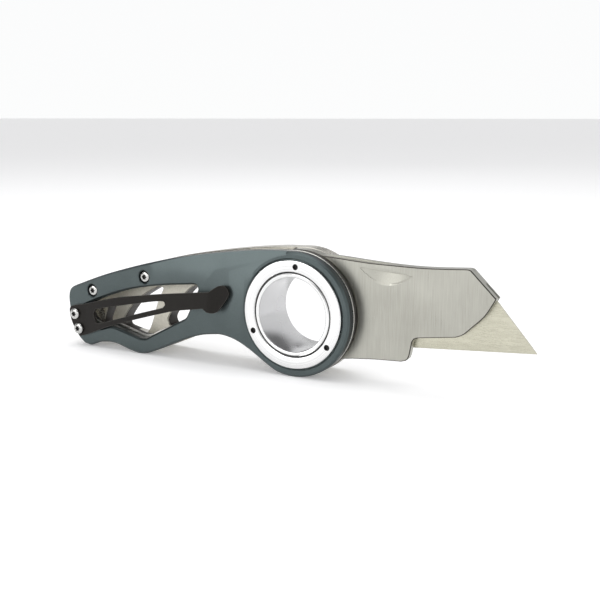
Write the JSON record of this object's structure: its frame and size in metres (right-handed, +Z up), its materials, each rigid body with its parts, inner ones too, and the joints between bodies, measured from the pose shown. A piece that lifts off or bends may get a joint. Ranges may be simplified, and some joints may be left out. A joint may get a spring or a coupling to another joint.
{
  "type": "folding utility knife",
  "caption": "Folding utility knife with a finger ring at its pivot, a windowed handle with pocket clip, and a carrier that holds a trapezoid blade.",
  "frame": {"origin": "middle of the bounding box at the level the open knife stands on, on its lower edge", "axes": "+X towards the blade's tip, +Y from the clip side to the rear frame, +Z up towards the knife's back"},
  "size_m": [0.1612, 0.0202, 0.0384],
  "materials": {
    "slate_anodised": "matt slate anodised, fine bead-blasted grain",
    "satin_steel": "satin",
    "brushed_frame_steel": "brushed lengthwise",
    "carrier_steel": "brushed across its length",
    "blade_steel": "ground",
    "polished_steel": "turned and polished",
    "black_steel": "black, satin",
    "washer_bronze": "satin",
    "screw_steel": "bright"
  },
  "bodies": {
    "handle": {"front_scale": "slate_anodised", "front_liner": "satin_steel", "rear_frame": "brushed_frame_steel", "back_spacer": "brushed_frame_steel", "stop_pin": "screw_steel", "pivot_ring": "polished_steel", "ring_nut": "polished_steel", "washer_front": "washer_bronze", "washer_rear": "washer_bronze", "scale_screw_tail": "screw_steel", "scale_screw_middle": "screw_steel", "clip_screw_upper": "screw_steel", "clip_screw_lower": "screw_steel", "frame_screw_tail": "screw_steel", "frame_screw_middle": "screw_steel", "frame_screw_butt": "screw_steel", "lock_screw_1": "screw_steel", "lock_screw_2": "screw_steel"},
    "clip": {"pocket_clip": "black_steel"},
    "lock": {"lock_leaf": "satin_steel", "detent_ball": "screw_steel"},
    "carrier": {"carrier_front_plate": "carrier_steel", "carrier_rear_plate": "carrier_steel", "carrier_rivet_1": "screw_steel", "carrier_rivet_2": "screw_steel", "carrier_rivet_3": "screw_steel"},
    "blade": {"utility_blade": "blade_steel"},
    "catch": {"blade_catch": "black_steel"}
  },
  "joints": [
    {"name": "blade_fold", "type": "hinge", "parent": "handle", "child": "carrier", "pos_m": [0.00842, 0.00097, 0.01921], "axis": [0, 1, 0], "range_deg": [0, 176], "deforming": ["lock_leaf", "detent_ball"]},
    {"name": "blade_slide", "type": "slide", "parent": "carrier", "child": "blade", "axis": [-0.9977, 0, -0.0675], "range_m": [-0.05, 0], "deforming": ["blade_catch"]},
    {"name": "catch_lift", "type": "hinge", "parent": "carrier", "child": "catch", "pos_m": [0.05602, 0.00302, 0.03392], "axis": [0, 0, 1], "range_deg": [-4, 0], "stiffness_Nm_per_rad": 0.2},
    {"name": "lock_release", "type": "hinge", "parent": "handle", "child": "lock", "pos_m": [-0.03808, 0.00378, 0.00522], "axis": [0, 0, 1], "range_deg": [0, 3], "stiffness_Nm_per_rad": 2},
    {"name": "clip_flex", "type": "hinge", "parent": "handle", "child": "clip", "pos_m": [-0.07918, -0.00692, 0.00921], "axis": [0, 0, -1], "range_deg": [0, 2.5], "stiffness_Nm_per_rad": 3}
  ]
}
